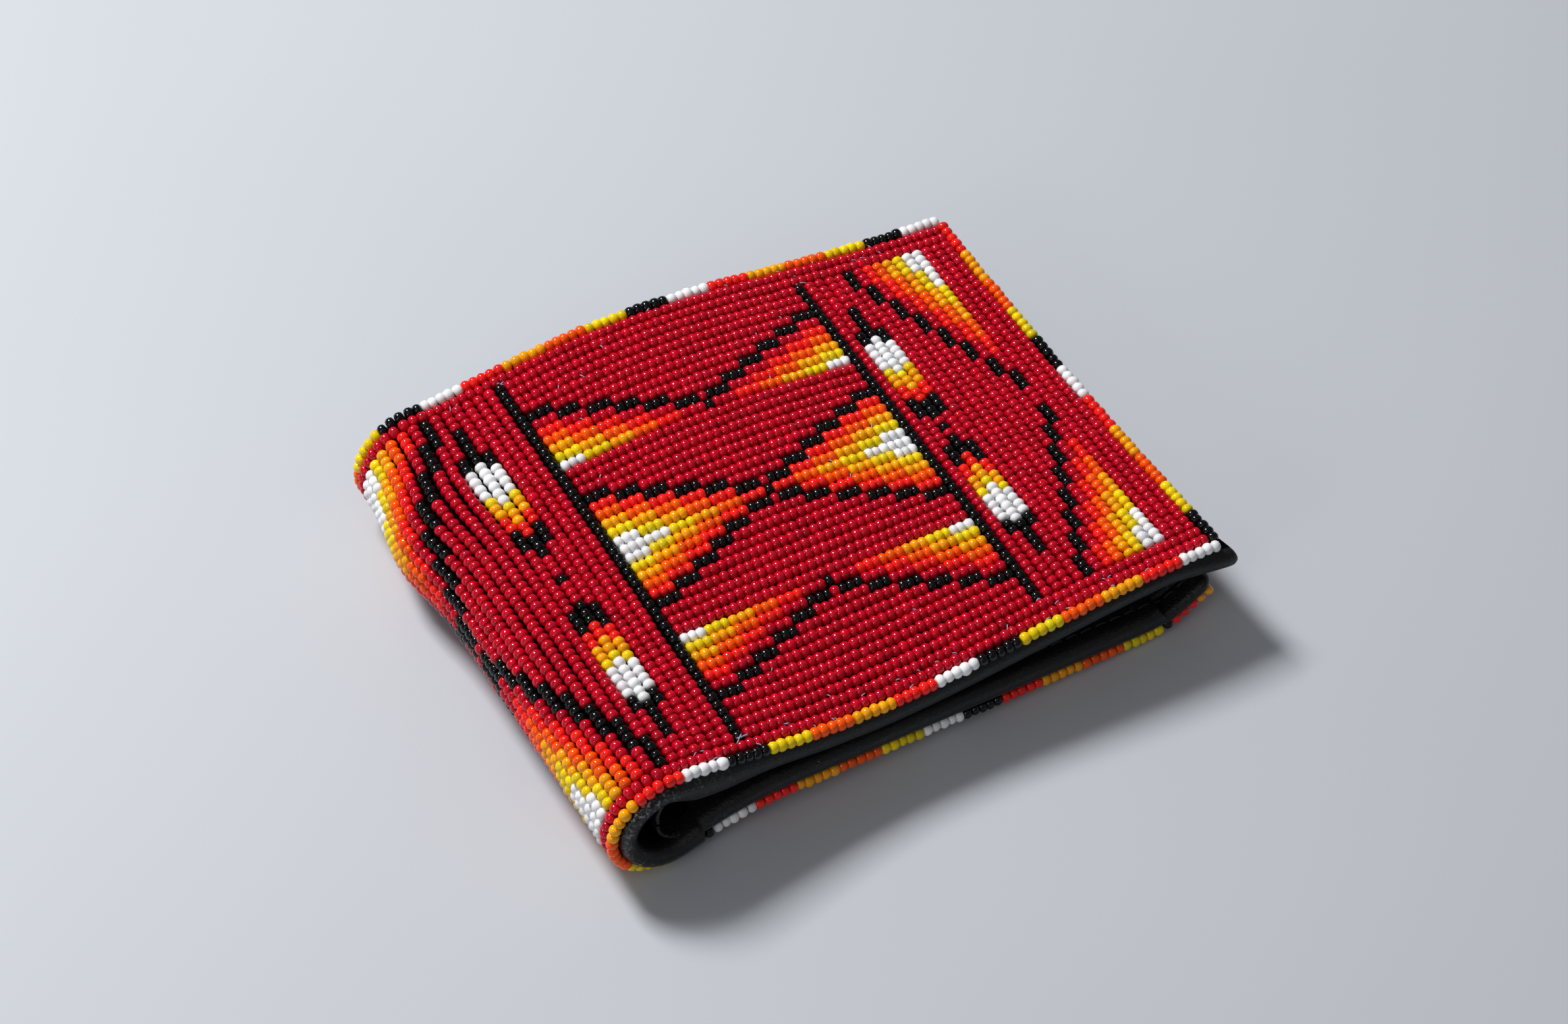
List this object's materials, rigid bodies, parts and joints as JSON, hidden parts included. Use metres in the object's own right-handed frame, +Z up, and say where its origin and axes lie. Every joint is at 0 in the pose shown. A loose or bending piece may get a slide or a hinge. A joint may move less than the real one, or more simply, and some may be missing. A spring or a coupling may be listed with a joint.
{
  "type": "bifold wallet",
  "caption": "Closed leather bifold wallet covered with strung glass seed beads in a dark red ground with feather and star motifs, finished with a striped bead edging.",
  "frame": {"origin": "middle of the bottom of the bounding box, on the table under the closed wallet", "axes": "+X from the fold to the free edges, +Y from the stitched edge to the pocket mouths, +Z up"},
  "size_m": [0.1162, 0.0918, 0.0247],
  "materials": {
    "leather": "satin",
    "red_beads": "gloss",
    "black_beads": "gloss",
    "edging_beads": "gloss"
  },
  "bodies": {
    "back": {"back_shell": "leather", "back_bill_wall": "leather", "back_card_leaf_upper": "leather", "back_card_leaf_lower": "leather", "back_fold_strings": "red_beads", "back_inner_bar": "black_beads", "back_centre_rows": "red_beads", "back_outer_bar": "black_beads", "back_free_strings": "red_beads", "back_near_border": "red_beads", "back_far_border": "red_beads", "back_near_short_row": "red_beads", "back_far_short_row": "red_beads", "back_edging": "edging_beads"},
    "front": {"front_shell": "leather", "front_bill_wall": "leather", "front_card_leaf_upper": "leather", "front_card_leaf_lower": "leather", "front_fold_strings": "red_beads", "front_inner_bar": "black_beads", "front_centre_rows": "red_beads", "front_outer_bar": "black_beads", "front_free_strings": "red_beads", "front_near_border": "red_beads", "front_far_border": "red_beads", "front_near_short_row": "red_beads", "front_far_short_row": "red_beads", "front_edging": "edging_beads"}
  },
  "joints": [
    {"name": "fold", "type": "hinge", "parent": "back", "child": "front", "pos_m": [-0.05829, 0, 0.01095], "axis": [0, -1, 0], "range_deg": [0, 175]}
  ]
}
